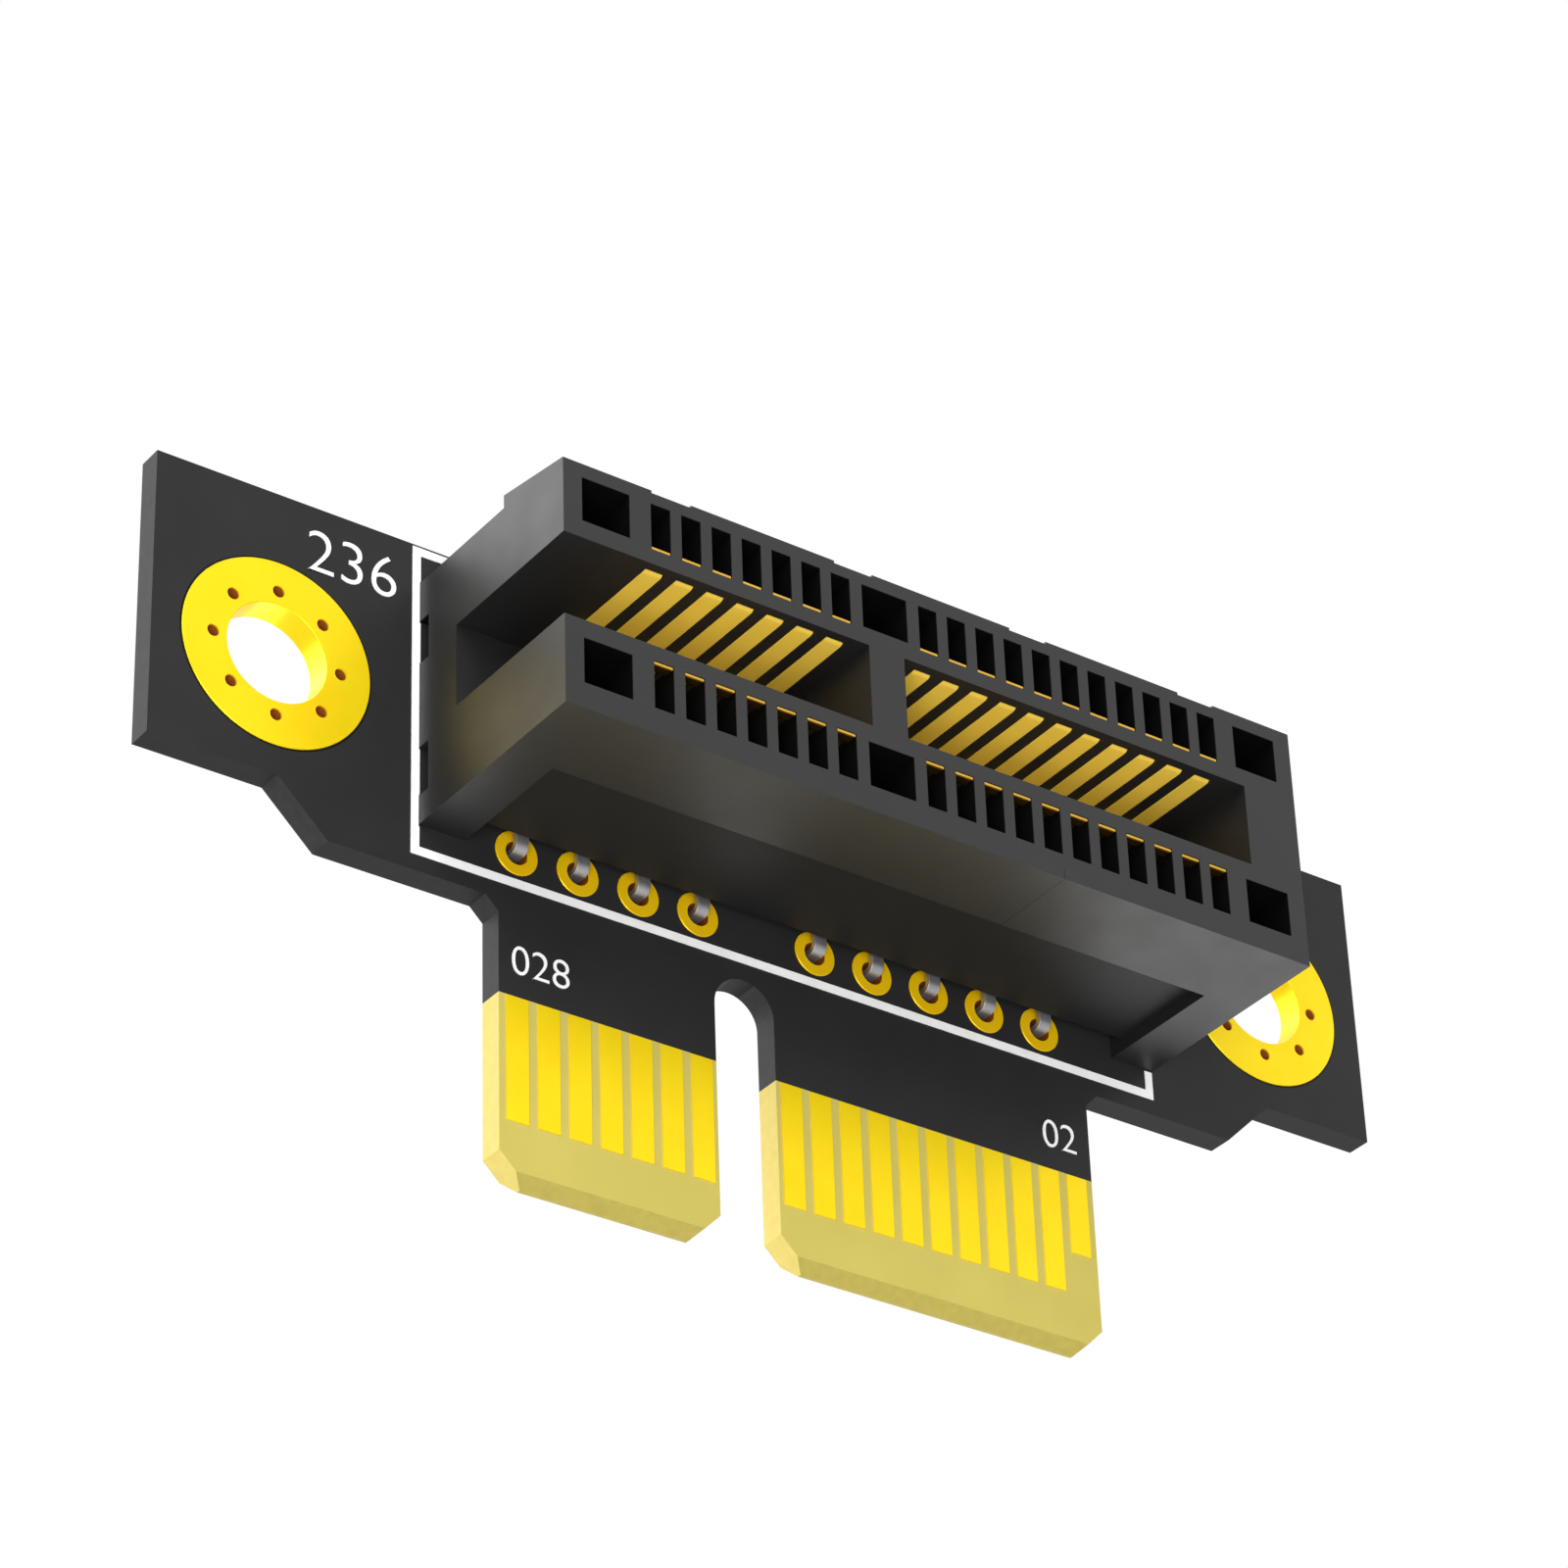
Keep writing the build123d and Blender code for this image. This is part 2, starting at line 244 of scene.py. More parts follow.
def board_material():
    """Black solder mask above the fingers' tops, bare glass-fibre laminate below, routed edges, with
    painted shade on the edges that face up or down and on the tongue's chamfer.
    """
    material, add, give = new_material("solder_mask_and_laminate")
    place = place_in_object(add)
    is_bare = maths(add, "LESS_THAN", axes(add, place)["Z"], finger_top + mask_gap)
    facing = axes(add, add("ShaderNodeNewGeometry").outputs["True Normal"])
    lean_along = maths(add, "ABSOLUTE", facing["X"])
    lean_out = maths(add, "ABSOLUTE", facing["Y"])
    is_side = maths(add, "GREATER_THAN", lean_along, least_side_lean)
    is_edge = maths(add, "LESS_THAN", lean_out, most_edge_lean)
    is_cut = maths(add, "LESS_THAN", lean_out, most_cut_lean)

    mask = mottle(add, place, face_patch, dark=(39, 39, 40), light=(43, 43, 44))
    routed = mottle(add, place, edge_patch, dark=(46, 46, 47), light=(52, 52, 53))
    # Painted shade: the mask's edges that face up or down take this darker tone than the side edges.
    lower = mottle(add, place, edge_patch, dark=(22, 22, 23), light=(27, 27, 28))
    bare = mottle(add, place, face_patch, dark=(191, 177, 89), light=(198, 184, 94))
    # Painted shade: the laminate's bevel and its bottom strip take this darker tone than the sawn
    # sides.
    bevel_painted_shade = mottle(add, place, edge_patch, dark=(168, 154, 74), light=(177, 163, 80))
    sawn = mottle(add, place, edge_patch, dark=(208, 189, 104), light=(216, 197, 111))
    mask = mixed(add, is_beside_ring(add, place), mask, colour(*ring_gap_tone))
    masked_part = mixed(add, is_edge, mask, mixed(add, is_side, lower, routed))
    bare_part = mixed(add, is_cut, bare, mixed(add, is_side, bevel_painted_shade, sawn))
    give("Base Color", mixed(add, is_bare, masked_part, bare_part))

    mask_roughness = patchy_value(add, place, size=1.5 * MM, low=0.36, high=0.44)
    is_rough = maths(add, "MAXIMUM", is_bare, is_edge)
    give("Roughness", ranged(add, is_rough, low=mask_roughness, high=cut_roughness))
    give("Specular IOR Level", board_shine)
    cloth = glass_cloth(add, place)
    give("Normal", grain(add, place, size=0.12 * MM, depth=0.002 * MM, strength=0.4, below=cloth))
    return material


def is_beside_ring(add, place):
    """The mask stops just short of each mounting ring, which leaves a dark line round it."""
    flat = add("ShaderNodeVectorMath", {0: place, 1: (1, 0, 1)}, operation="MULTIPLY")
    ways = [
        add(
            "ShaderNodeVectorMath",
            {0: flat.outputs["Vector"], 1: (centre.x, 0, centre.z)},
            operation="DISTANCE",
        ).outputs["Value"]
        for centre in (middle("mount_ring_left"), middle("mount_ring_right"))
    ]
    nearest = maths(add, "MINIMUM", *ways)
    return maths(add, "LESS_THAN", nearest, mount_ring_radius + ring_mask_gap)


def glass_cloth(add, place):
    """Two crossing sets of threads under the resin, barely felt on the surface."""
    threads = [
        add(
            "ShaderNodeTexWave",
            {"Vector": place, "Scale": half_wave / weave_pitch, "Distortion": 0.6, "Detail": 1.0},
            bands_direction=axis,
        ).outputs["Fac"]
        for axis in ("X", "Z")
    ]
    return bump(add, maths(add, "MULTIPLY", *threads), weave_depth, strength=0.3)


# Housing plastic: heights are from the frame's origin, offsets from the slot's axis
recess_floor = 10.42 * MM
level_tolerance = 0.05 * MM
least_down_lean = 0.5
seam_place = 5.82 * MM
seam_half_width = 0.015 * MM
seam_top = 10.38 * MM
opening_offset = 2.55 * MM
opening_reach = 0.8 * MM
skin_depth = 0.03 * MM
dull_roughness = 0.58
satin_shine = 0.5
dull_shine = 0.32
deep_shine = 0.08


def plastic_material():
    """Moulded black plastic with the fine grain of a spark-eroded mould."""
    material, add, give = new_material("housing_plastic")
    place = place_in_object(add)
    spot = axes(add, place)
    is_dull_painted_shade = maths(add, "MAXIMUM", is_recess_floor(add, spot), is_seam_line(add, spot))
    is_opening_shade = is_in_opening(add, spot)

    satin = mottle(add, place, size=4 * MM, dark=(22, 22, 23), light=(26, 26, 27))
    # Painted shade: the recess floor and the thin seam take this darker tone.
    dull_painted_shade = mottle(add, place, size=4 * MM, dark=(15, 15, 16), light=(18, 18, 19))
    # Painted shade: the inside of the windows and core openings takes this near-black tone.
    opening_painted_shade = mottle(add, place, size=1 * MM, dark=(8, 8, 8), light=(10, 10, 10))
    give("Base Color", mixed(add, is_opening_shade, mixed(add, is_dull_painted_shade, satin, dull_painted_shade), opening_painted_shade))

    satin_roughness = patchy_value(add, place, size=1.2 * MM, low=0.47, high=0.52)
    give("Roughness", ranged(add, is_dull_painted_shade, low=satin_roughness, high=dull_roughness))
    outer_shine = ranged(add, is_dull_painted_shade, low=satin_shine, high=dull_shine)
    give("Specular IOR Level", ranged(add, is_opening_shade, low=outer_shine, high=deep_shine))
    waves = grain(add, place, size=1.6 * MM, depth=0.006 * MM, strength=0.35)
    give("Normal", grain(add, place, size=0.07 * MM, depth=0.0022 * MM, strength=0.5, below=waves))
    return material


def is_recess_floor(add, spot):
    """The recess on the housing's underside, which is matt and takes a darker tone: painted shade."""
    facing = axes(add, add("ShaderNodeNewGeometry").outputs["True Normal"])["Z"]
    is_down = maths(add, "LESS_THAN", facing, -least_down_lean)
    is_level = maths(add, "COMPARE", spot["Z"], recess_floor, level_tolerance)
    return maths(add, "MULTIPLY", is_down, is_level)


def is_seam_line(add, spot):
    """A thin seam across the lower band and the foot of the front face, in the same darker tone:
    painted shade.
    """
    is_on_line = maths(add, "COMPARE", spot["X"], seam_place, seam_half_width)
    is_low = maths(add, "LESS_THAN", spot["Z"], seam_top)
    return maths(add, "MULTIPLY", is_on_line, is_low)


def is_in_opening(add, spot):
    """Inside a contact window or core opening, where the plastic takes a painted shade: a near-black
    tone and less shine.
    """
    middle_x = (housing_low.x + housing_high.x) / 2
    half_length = (housing_high.x - housing_low.x) / 2 - skin_depth
    is_in_row = maths(add, "COMPARE", offset_from_slot(add, spot), opening_offset, opening_reach)
    is_in_length = maths(add, "COMPARE", spot["X"], middle_x, half_length)
    is_behind = maths(add, "GREATER_THAN", spot["Y"], housing_low.y + skin_depth)
    return maths(add, "MULTIPLY", maths(add, "MULTIPLY", is_in_row, is_in_length), is_behind)


def offset_from_slot(add, spot):
    """How far a spot lies above or below the slot's axis."""
    return maths(add, "ABSOLUTE", maths(add, "SUBTRACT", spot["Z"], slot_axis_height))


# Gold plating
gold_shine = 0.2


def gold_material(name, metallic, dark, light, barrel=None):
    """Gold plating with faint polishing marks, and with painted shade inside small barrels: a brown
    tone.
    """
    material, add, give = new_material(name)
    place = place_in_object(add)
    gold = mottle(add, place, size=1.5 * MM, dark=dark, light=light)
    if barrel:
        # Painted shade: behind the front face, inside the barrels, the gold turns brown.
        is_barrel_shade = maths(add, "GREATER_THAN", axes(add, place)["Y"], front_face)
        gold = mixed(add, is_barrel_shade, gold, colour(*barrel))
    give("Base Color", gold)
    give("Metallic", metallic)
    give("Roughness", patchy_value(add, place, size=0.6 * MM, low=0.3, high=0.38))
    give("Specular IOR Level", gold_shine)
    give("Normal", grain(add, place, size=0.25 * MM, depth=0.001 * MM, strength=0.4))
    return material


# Contact metal: heights are from the board's face, offsets from the slot's axis
tin_start = 1.6 * MM
tin_full = 1.3 * MM
painted_shade_start = 1.55 * MM
painted_shade_full = 1.65 * MM
bright_tip_height = 7.12 * MM
# Painted shade: a dark brown on the strip's faces away from the slot, short of the tip.
skin_painted_shade = (96, 66, 18)
tip_tone = (226, 178, 66)
beam_metallic = 0.1
shaded_skin_metallic = 0.9


def contact_material():
    """Gold on the spring beam and tin on the tail, which begins inside the housing's floor."""
    material, add, give = new_material("contact_metal")
    place = place_in_object(add)
    spot = axes(add, place)
    is_tin = ranged(add, spot["Y"], 0.0, 1.0, front_face - tin_start, front_face - tin_full)
    beam = mottle(add, place, size=1.2 * MM, dark=(240, 202, 70), light=(246, 209, 78))
    tin = mottle(add, place, size=0.5 * MM, dark=(172, 172, 176), light=(190, 190, 193))

    # The rubbed face beside the slot is dull gold. The rest of the strip, the lip that reaches into the
    # housing's wall, takes a painted shade, a dark brown, except at the tip, which keeps a brighter
    # gold
    is_painted_skin_shade = ranged(add, offset_from_slot(add, spot), 0.0, 1.0, painted_shade_start, painted_shade_full)
    is_tip = maths(add, "LESS_THAN", spot["Y"], front_face - bright_tip_height)
    shaded_skin = mixed(add, is_tip, colour(*skin_painted_shade), colour(*tip_tone))
    give("Base Color", mixed(add, is_tin, mixed(add, is_painted_skin_shade, beam, shaded_skin), tin))
    give("Metallic", ranged(add, is_painted_skin_shade, low=beam_metallic, high=shaded_skin_metallic))
    give("Roughness", patchy_value(add, place, size=0.3 * MM, low=0.4, high=0.5))
    give("Normal", grain(add, place, size=0.09 * MM, depth=0.001 * MM, strength=0.4))
    return material


def solder_material():
    """Bright wetted solder."""
    material, add, give = new_material("solder")
    place = place_in_object(add)
    give("Base Color", mottle(add, place, size=0.4 * MM, dark=(188, 190, 194), light=(226, 227, 230)))
    give("Metallic", 1.0)
    give("Roughness", patchy_value(add, place, size=0.2 * MM, low=0.16, high=0.3))
    give("Normal", grain(add, place, size=0.25 * MM, depth=0.006 * MM, strength=0.5))
    return material


def ink_material():
    """Screen-printed white ink."""
    material, add, give = new_material("white_ink")
    place = place_in_object(add)
    give("Base Color", mottle(add, place, size=0.5 * MM, dark=(244, 244, 242), light=(254, 254, 253)))
    give("Roughness", patchy_value(add, place, size=0.3 * MM, low=0.5, high=0.62))
    give("Normal", grain(add, place, size=0.05 * MM, depth=0.002 * MM, strength=0.5))
    return material


finishes = {
    "laminate": board_material(),
    "housing_plastic": plastic_material(),
    "gold_plate": gold_material("gold_plate", metallic=0.42, dark=(255, 218, 13), light=(255, 224, 20)),
    "contact_metal": contact_material(),
    "solder": solder_material(),
    "white_ink": ink_material(),
}
# Its barrels take a brown tone: painted shade.
hole_finish = gold_material(
    "gold_of_holes", metallic=0.3, dark=(255, 203, 10), light=(255, 209, 16), barrel=(168, 94, 36)
)
for subpart in frame["record"]["subparts"]:
    data = nodes[subpart["node"]].data
    data.materials.clear()
    data.materials.append(finishes[subpart["material_slot"]])


# Pieces
sharp_angle = 35


def new_object(name, data):
    """An object of this mesh, text, camera or light in the scene."""
    made = bpy.data.objects.new(name, data)
    scene.collection.objects.link(made)
    return made


def new_mesh(name, points, faces):
    mesh = bpy.data.meshes.new(name)
    mesh.from_pydata([tuple(point) for point in points], [], faces)
    return mesh


def finished_mesh(shape):
    """The mesh of an object with its modifiers applied, or of a text."""
    bpy.context.view_layer.update()
    graph = bpy.context.evaluated_depsgraph_get()
    return bpy.data.meshes.new_from_object(shape.evaluated_get(graph))


def add_piece(name, points, faces, slot, replaced=(), smooth_angle=sharp_angle):
    """A mesh piece that rides on the card and takes its finish from a material slot."""
    mesh = new_mesh(name, points, faces)
    mesh.materials.append(finishes[slot])
    mesh.validate()
    mesh.shade_smooth()
    mesh.set_sharp_from_angle(angle=math.radians(smooth_angle))
    piece = new_object(name, mesh)
    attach(piece, "root")
    if replaced:
        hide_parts(*replaced)
    return piece


def turns_of(count):
    """Angles of a circle's points."""
    return [2 * math.pi * step / count for step in range(count)]


def oval_of(centre, reach_x, reach_z, y, count):
    """Points of an oval that faces along Y, counted from +X towards +Z."""
    return [
        Vector((centre.x + reach_x * math.cos(turn), y, centre.z + reach_z * math.sin(turn)))
        for turn in turns_of(count)
    ]


def join_rings(points, faces, rings, closed=False):
    """Adds the rings' points and the quads between each ring and the next."""
    start = len(points)
    count = len(rings[0])
    for ring in rings:
        points.extend(ring)
    pairs = list(zip(range(len(rings)), range(1, len(rings))))
    if closed:
        pairs.append((len(rings) - 1, 0))
    for near, far in pairs:
        for step in range(count):
            turn = (step + 1) % count
            faces.append((
                start + near * count + step,
                start + near * count + turn,
                start + far * count + turn,
                start + far * count + step,
            ))


def turned(points, faces, centre, profile, count):
    """Adds a ring-shaped solid: a closed profile of (radius, y) turned about an axis along Y."""
    rings = [oval_of(centre, radius, radius, y, count) for radius, y in profile]
    join_rings(points, faces, rings, closed=True)


# Contacts: heights are from the board's face, offsets from the slot's axis
lip_thickness = 0.07 * MM
edge_break = 0.012 * MM
wall_line = 1.42 * MM
lip_line = 1.855 * MM
lip_end = 7.18 * MM
tip_height = 6.78 * MM
ramp_start = 3.9 * MM
crest_start = 3.3 * MM
crest_end = 3.0 * MM
ramp_end = 2.3 * MM
crest_rise = 0.55 * MM
shank_top = 1.4 * MM
shank_bottom = 1.0 * MM
jog_height = 0.25 * MM
tail_end = -board_thickness - 1.2 * MM
point_length = 0.25 * MM
point_width = 0.22 * MM
lip_bend = 0.12 * MM
ramp_bend = 0.3 * MM
crest_bend = 0.14 * MM
foot_bend = 0.2 * MM
no_bend = 0.0
bend_steps = 6
strip_angle = 40


def contact_corners(outer):
    """Corners of a contact's middle line from lip to tail, as (height, offset, bend radius)."""
    corners = [
        (lip_end, lip_line, no_bend),
        (tip_height, lip_line, lip_bend),
        (tip_height, wall_line, lip_bend),
        (ramp_start, wall_line, ramp_bend),
        (crest_start, wall_line - crest_rise, crest_bend),
        (crest_end, wall_line - crest_rise, crest_bend),
        (ramp_end, inner_row_offset, foot_bend),
    ]
    if outer:
        corners += [
            (jog_height, inner_row_offset, crest_bend),
            (jog_height, outer_row_offset, foot_bend),
        ]
    corners.append((tail_end, outer_row_offset if outer else inner_row_offset, no_bend))
    return corners


def rounded_route(corners):
    """Points along the corners, with an arc in place of each inner one."""
    places = [Vector(corner[:2]) for corner in corners]
    radii = [corner[2] for corner in corners[1:-1]]
    points = [places[0]]
    for before, corner, after, radius in zip(places, places[1:], places[2:], radii):
        inward = (before - corner).normalized()
        outward = (after - corner).normalized()
        half_turn = (math.pi - inward.angle(outward)) / 2
        reach = radius * math.tan(half_turn)
        centre = corner + (inward + outward).normalized() * radius / math.cos(half_turn)
        first = corner + inward * reach - centre
        last = corner + outward * reach - centre
        turn = first.angle(last)
        for step in range(bend_steps + 1):
            gone = turn * step / bend_steps
            spoke = (first * math.sin(turn - gone) + last * math.sin(gone)) / math.sin(turn)
            points.append(centre + spoke)
    points.append(places[-1])
    return points


def strip_rings(route, widths, thicknesses, place):
    """Cross-sections with broken edges along a route in the (height, offset) plane."""
    rings = []
    for index, point in enumerate(route):
        half = thicknesses[index] / 2
        before = route[max(index - 1, 0)]
        after = route[min(index + 1, len(route) - 1)]
        along = (after - before).normalized()
        across = Vector((-along.y, along.x))
        side = widths[index] / 2
        section = (
            (side, half - edge_break), (side - edge_break, half),
            (edge_break - side, half), (-side, half - edge_break),
            (-side, edge_break - half), (edge_break - side, -half),
            (side - edge_break, -half), (side, edge_break - half),
        )
        rings.append([place(point + across * out, sideways) for sideways, out in section])
    return rings


def tail_share(height):
    """0 on the beam, 1 on the narrower tail, changing over inside the housing's floor."""
    return min(max((shank_top - height) / (shank_top - shank_bottom), 0.0), 1.0)


def build_contact(side, number):
    """One stamped strip with a thin lip, rounded bends, a narrower tail and a pointed end."""
    name = contact_name(side, number)
    place_x = middle(name).x
    direction = row_directions[side]
    route = rounded_route(contact_corners(outer=number % 2 == 0))
    split = next(index for index, point in enumerate(route) if point.x < shank_top)
    shank = [Vector((height, inner_row_offset)) for height in (shank_top, shank_bottom)]
    route = route[:split] + shank + route[split:]
    route.insert(-1, Vector((tail_end + point_length, route[-1].y)))
    widths = [beam_width + (tail_width - beam_width) * tail_share(point.x) for point in route]
    widths[-1] = point_width
    thicknesses = [
        lip_thickness if point.y > wall_line and point.x > tip_height else contact_thickness
        for point in route
    ]

    def in_frame(point, sideways):
        return Vector((
            place_x + sideways, front_face - point.x, slot_axis_height + direction * point.y
        ))

    points, faces = [], []
    rings = strip_rings(route, widths, thicknesses, in_frame)
    join_rings(points, faces, rings)
    count = len(rings[0])
    faces.append(tuple(range(count)))
    faces.append(tuple(range(len(points) - 1, len(points) - count - 1, -1)))
    if direction > 0:
        faces = [face[::-1] for face in faces]
    add_piece(f"strip_{side}{number:02d}", points, faces, "contact_metal", (name,), strip_angle)


for contact_side in ("a", "b"):
    for contact_number in range(1, contact_count + 1):
        build_contact(contact_side, contact_number)


# Plated holes and solder joints
land_edge = 0.012 * MM
barrel_wall = 0.03 * MM
hole_segments = 40
solder_segments = 28
fillet_steps = 7
fillet_power = 2.2
solder_collar = 0.05 * MM
fillet_angle = 60


def tail_places(side, outer):
    """Middle of each plated hole in one row."""
    offset = outer_row_offset if outer else inner_row_offset
    height = slot_axis_height + row_directions[side] * offset
    return [
        Vector((middle(contact_name(side, number)).x, 0, height))
        for number in range(1, contact_count + 1)
        if (number % 2 == 0) == outer
    ]


def build_plated_row(side, row, outer):
    """Barrels of one row, each with its land on the front face."""
    points, faces = [], []
    bore = hole_bore / 2
    land = hole_land / 2
    top = front_face - plating
    profile = (
        (bore, back_face), (bore, top + land_edge), (bore + land_edge, top),
        (land - land_edge, top), (land, top + land_edge), (land, front_face),
        (bore + barrel_wall, front_face), (bore + barrel_wall, back_face),
    )
    for centre in tail_places(side, outer):
        turned(points, faces, centre, profile, hole_segments)
    piece = add_piece(
        f"round_holes_{side}_{row}", points, faces, "gold_plate", (f"plated_holes_{side}_{row}",)
    )
    piece.data.materials[0] = hole_finish


def build_solder_row(side, row, outer):
    """Solder that climbs each tail in a hollow curve, from a round base to a thin collar."""
    points, faces = [], []
    base = solder_base / 2
    collar_x = tail_width / 2 + solder_collar
    collar_z = contact_thickness / 2 + solder_collar
    for centre in tail_places(side, outer):
        rings = []
        for step in range(fillet_steps + 1):
            climb = step / fillet_steps
            spread = (1 - climb) ** fillet_power
            reach_x = collar_x + (base - collar_x) * spread
            reach_z = collar_z + (base - collar_z) * spread
            y = back_face + solder_height * climb
            rings.append(oval_of(centre, reach_x, reach_z, y, solder_segments))
        start = len(points)
        join_rings(points, faces, rings)
        faces.append(tuple(range(start + solder_segments - 1, start - 1, -1)))
        faces.append(tuple(range(len(points) - solder_segments, len(points))))
    replaced = (f"solder_joints_{side}_{row}",)
    add_piece(f"solder_cones_{side}_{row}", points, faces, "solder", replaced, fillet_angle)


for row_side in ("a", "b"):
    for row_name, row_is_outer in (("outer", True), ("inner", False)):
        build_plated_row(row_side, row_name, row_is_outer)
        build_solder_row(row_side, row_name, row_is_outer)


# Mounting rings
ring_segments = 128
stitch_segments = 24
drill_margin = 0.1 * MM


def build_mount_ring(name):
    """Lands on both faces, the bore's barrel, and the stitching holes cut through the lands."""
    low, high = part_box(name)
    centre = (low + high) / 2
    outer = (high.x - low.x) / 2
    bore = mount_bore / 2
    points, faces = [], []
    turned(points, faces, centre, (
        (bore, high.y - land_edge), (bore, low.y + land_edge), (bore + land_edge, low.y),
        (outer - land_edge, low.y), (outer, low.y + land_edge), (outer, front_face),
        (bore + barrel_wall, front_face), (bore + barrel_wall, back_face),
        (outer, back_face), (outer, high.y - land_edge), (outer - land_edge, high.y),
        (bore + land_edge, high.y),
    ), ring_segments)
    piece = add_piece(f"round_{name}", points, faces, "gold_plate", (name,))
    drill = drill_tool(centre, low.y, high.y)
    cut = piece.modifiers.new("stitching", "BOOLEAN")
    cut.operation = "DIFFERENCE"
    cut.solver = "EXACT"
    cut.object = drill
    shaped = finished_mesh(piece)
    piece.modifiers.clear()
    shaped.set_sharp_from_angle(angle=math.radians(sharp_angle))
    piece.data = shaped
    bpy.data.objects.remove(drill)
    build_stitching(name, centre, low.y, high.y)


def stitch_places(centre):
    """Middle of each stitching hole round a mounting hole."""
    return [
        centre + Vector((math.cos(turn), 0, math.sin(turn))) * stitch_circle / 2
        for turn in turns_of(stitch_count)
    ]


def drill_tool(centre, low_y, high_y):
    """Rods that cut the stitching holes through both lands."""
    points, faces = [], []
    radius = stitch_bore / 2 + barrel_wall / 2
    for place in stitch_places(centre):
        start = len(points)
        join_rings(points, faces, [
            oval_of(place, radius, radius, y, stitch_segments)
            for y in (low_y - drill_margin, high_y + drill_margin)
        ])
        faces.append(tuple(range(start, start + stitch_segments)))
        faces.append(tuple(range(len(points) - 1, len(points) - stitch_segments - 1, -1)))
    return new_object("drill", new_mesh("drill", points, faces))


def build_stitching(name, centre, low_y, high_y):
    """The small barrels that line a mounting ring's stitching holes."""
    points, faces = [], []
    bore = stitch_bore / 2
    for place in stitch_places(centre):
        turned(points, faces, place, (
            (bore, high_y), (bore, low_y), (bore + barrel_wall, low_y + land_edge),
            (bore + barrel_wall, high_y - land_edge),
        ), stitch_segments)
    stitching = add_piece(f"stitching_{name}", points, faces, "gold_plate")
    stitching.data.materials[0] = hole_finish


for ring_name in ("mount_ring_left", "mount_ring_right"):
    build_mount_ring(ring_name)


# Printed numbers: a digit's height is a share of its font size, its stroke's trim one of its height
digit_share = 0.7
stroke_trim = 0.02
curve_steps = 6
large_digit = 1.35 * MM
small_digit = 0.88 * MM
finger_number_base = 6.35 * MM


def print_number(name, digits, left, base, height):
    """Plain digits in white ink on the front face: left and base are their lower left corner."""
    trim = stroke_trim * height
    curve = bpy.data.curves.new(name, "FONT")
    curve.body = digits
    curve.size = (height + 2 * trim) / digit_share
    curve.offset = -trim
    curve.extrude = ink_thickness / 2
    curve.resolution_u = curve_steps
    writing = new_object(name, curve)
    mesh = finished_mesh(writing)
    bpy.data.objects.remove(writing)
    mesh.transform(
        Matrix.Translation((left - trim, front_face - ink_thickness / 2, base - trim))
        @ Matrix.Rotation(math.pi / 2, 4, "X")
    )
    mesh.materials.clear()
    mesh.materials.append(finishes["white_ink"])
    piece = new_object(name, mesh)
    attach(piece, "root")


print_number("number_slot", "236", left=-14.3 * MM, base=17.05 * MM, height=large_digit)
print_number("number_left_end", "028", left=-7.7 * MM, base=finger_number_base, height=small_digit)
print_number("number_right_end", "02", left=10.35 * MM, base=finger_number_base, height=small_digit)


# Camera at the photo's angle
camera_place = Vector((-75.400, -104.110, -66.644)) * MM
camera_right = Vector((0.81408, -0.57989, -0.03156))
camera_up = Vector((-0.28985, -0.45279, 0.84319))
camera_back = camera_right.cross(camera_up)
camera_data = bpy.data.cameras.new("camera")
camera_data.lens = 122.884
camera_data.sensor_width = 36.0
camera_data.clip_start = 0.005
camera = new_object("camera", camera_data)
camera.matrix_world = (
    Matrix.Translation(camera_place)
    @ Matrix((camera_right, camera_up, camera_back)).transposed().to_4x4()
)
scene.camera = camera


# Pale floor below the camera and the lamps, in metres
floor_half = 6
floor_height = -0.4
fade_start = 0.45
fade_end = 1.6
least_white = 0.7
floor_roughness = 0.8
pure_white = (1, 1, 1, 1)


def floor_material():
    """Pale floor that the camera sees near white, with the shadows still on it."""
    material, add, give = new_material("pale_floor")
    place = place_in_object(add)
    give("Base Color", mottle(add, place, size=120 * MM, dark=(243, 243, 243), light=(247, 247, 247)))
    give("Roughness", floor_roughness)
    is_seen = add("ShaderNodeLightPath").outputs["Is Camera Ray"]
    distance = add("ShaderNodeVectorMath", {0: place}, operation="LENGTH").outputs["Value"]
    whiteness = ranged(add, distance, least_white, 1.0, fade_start, fade_end)
    share = maths(add, "MULTIPLY", is_seen, whiteness)
    lit = material.node_tree.nodes["Principled BSDF"].outputs["BSDF"]
    white = add("ShaderNodeEmission", {"Color": pure_white, "Strength": 1.0}).outputs["Emission"]
    surface = add("ShaderNodeMixShader", {0: share, 1: lit, 2: white}).outputs["Shader"]
    feed(material.node_tree.nodes["Material Output"].inputs["Surface"], surface)
    return material


floor_corners = [
    (x * floor_half, y * floor_half, floor_height) for x, y in ((-1, -1), (1, -1), (1, 1), (-1, 1))
]
floor = new_object("floor", new_mesh("floor", floor_corners, [(0, 1, 2, 3)]))
floor.data.materials.append(floor_material())


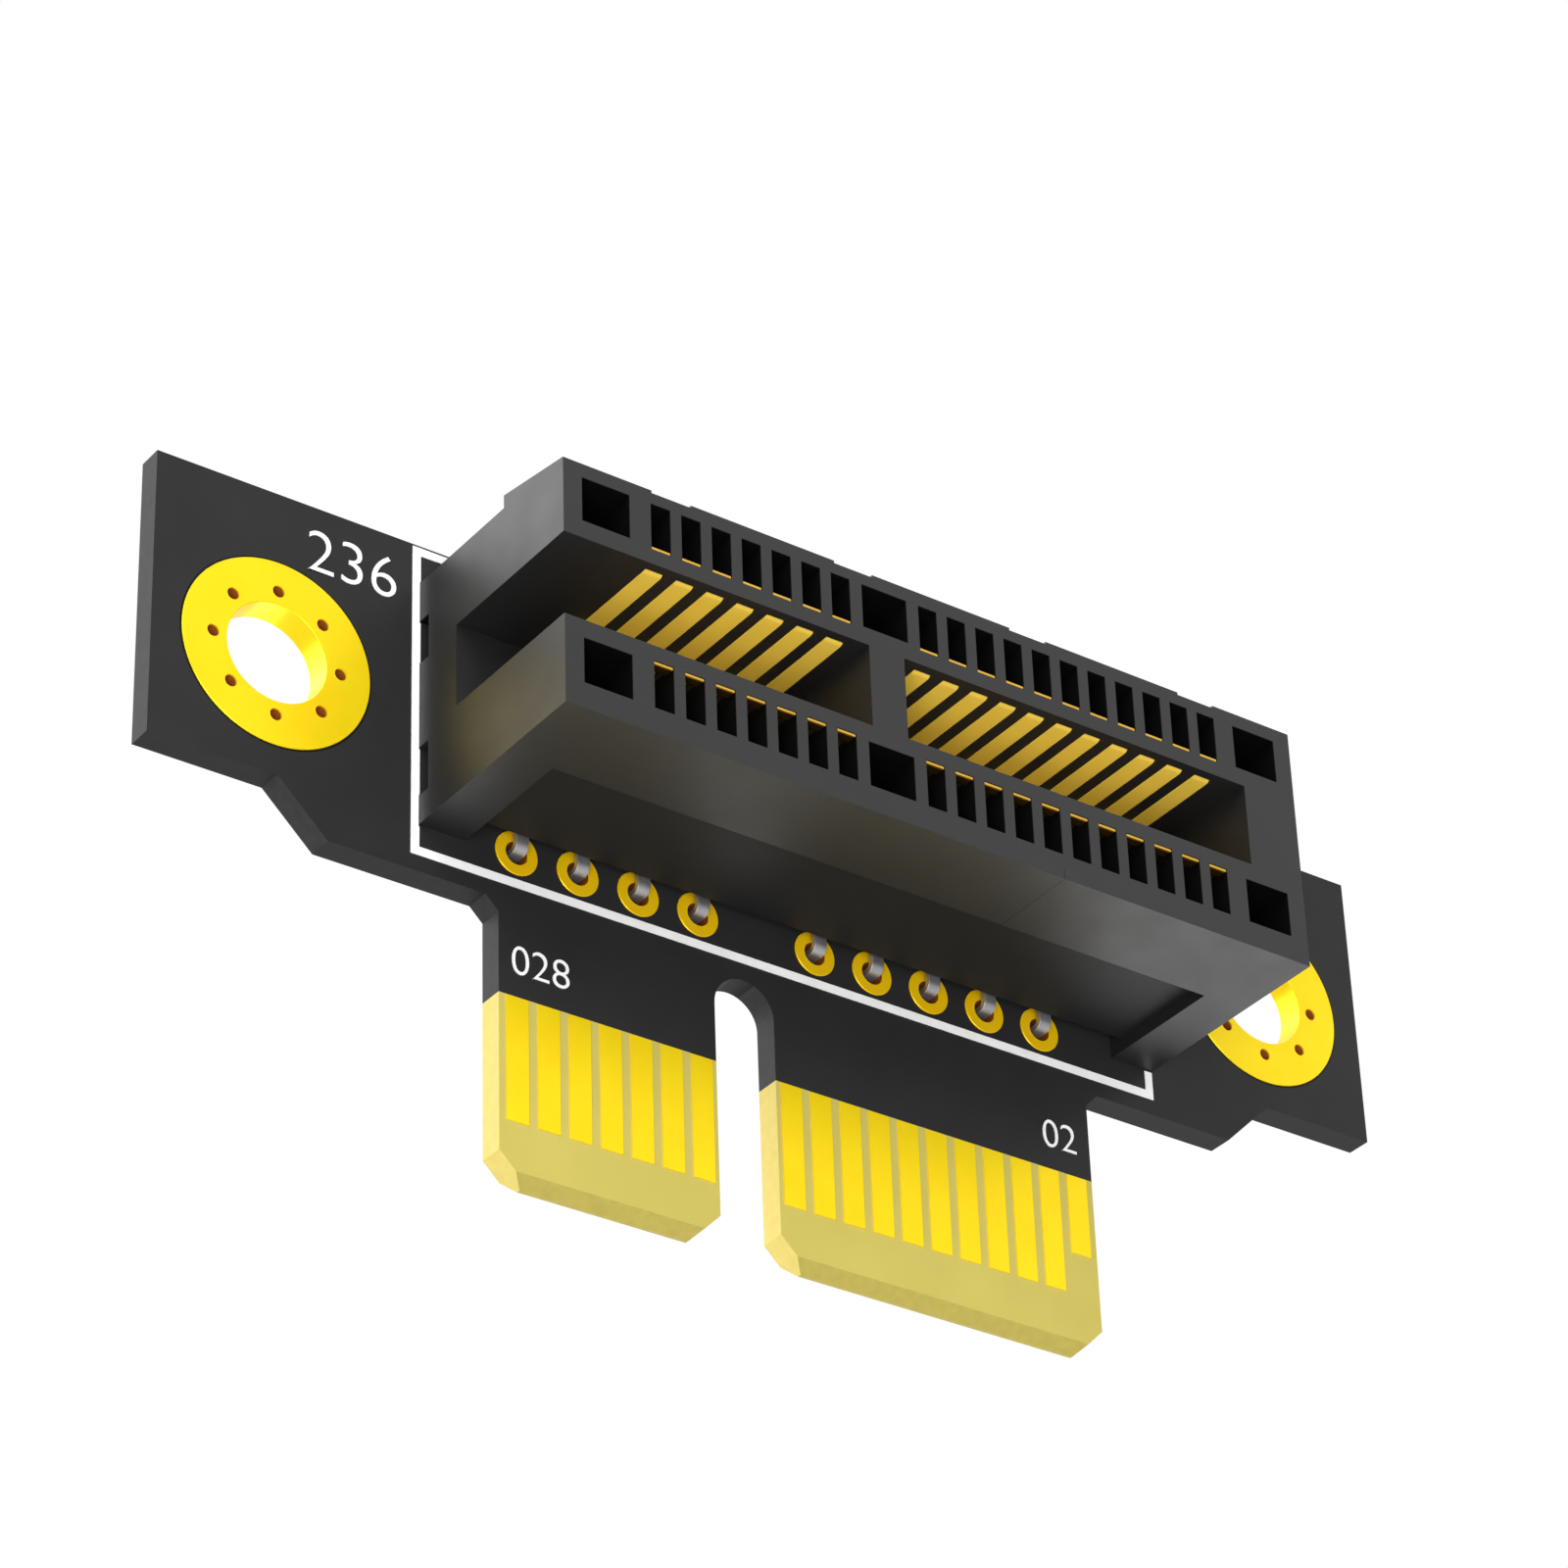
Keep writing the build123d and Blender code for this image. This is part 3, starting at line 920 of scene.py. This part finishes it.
# Lamps, in metres
def add_area_light(name, direction, distance, size, radiance):
    """A round lamp that faces the card from this direction: a mirror would show its radiance."""
    light = bpy.data.lights.new(name, "AREA")
    light.shape = "DISK"
    light.size = size
    light.energy = radiance * math.pi * math.pi * (size / 2) ** 2
    lamp = new_object(name, light)
    out = Vector(direction).normalized()
    lamp.location = aim + out * distance
    lamp.rotation_euler = out.to_track_quat("Z", "Y").to_euler()
    lamp.visible_camera = False


card_middle = (cad_bounds[0][0] + cad_bounds[1][0]) / 2
aim = Vector((card_middle, front_face, slot_axis_height))

# Direction from the card to the camera. The fill comes from there, the key from above it, and the
# last lamp from where the lower faces mirror the view
view_x, view_y, view_z = (-0.503, -0.677, -0.537)
add_area_light("fill_light", (view_x, view_y, view_z), distance=0.45, size=0.32, radiance=6.4)
add_area_light("key_light", (view_x, view_y, -view_z), distance=0.5, size=0.4, radiance=3.4)
add_area_light("left_back_light", (-0.66, 0.63, 0.41), distance=0.5, size=0.6, radiance=2.65)
add_area_light("right_low_light", (-view_x, -view_y, view_z), distance=0.42, size=0.36, radiance=2.2)


# Strength of the light that the surroundings cast, and of the white that is seen in them
soft_strength = 0.42
seen_strength = 1.0


def add_surroundings():
    """White for what the camera, gloss and glass see, and plain soft light for the rest."""
    world = bpy.data.worlds.new("studio")
    scene.world = world
    world.use_nodes = True
    world.node_tree.nodes.clear()
    add = node_adder(world.node_tree)
    rays = add("ShaderNodeLightPath").outputs
    is_seen = maths(add, "ADD", rays["Is Camera Ray"], rays["Is Glossy Ray"])
    is_white = add(
        "ShaderNodeMath", {0: is_seen, 1: rays["Is Transmission Ray"]}, operation="ADD", use_clamp=True
    ).outputs["Value"]
    soft, white = (
        add("ShaderNodeBackground", {"Color": pure_white, "Strength": strength}).outputs["Background"]
        for strength in (soft_strength, seen_strength)
    )
    choice = add("ShaderNodeMixShader", {0: is_white, 1: soft, 2: white}).outputs["Shader"]
    add("ShaderNodeOutputWorld", {"Surface": choice})


add_surroundings()
scene.view_settings.view_transform = "Standard"
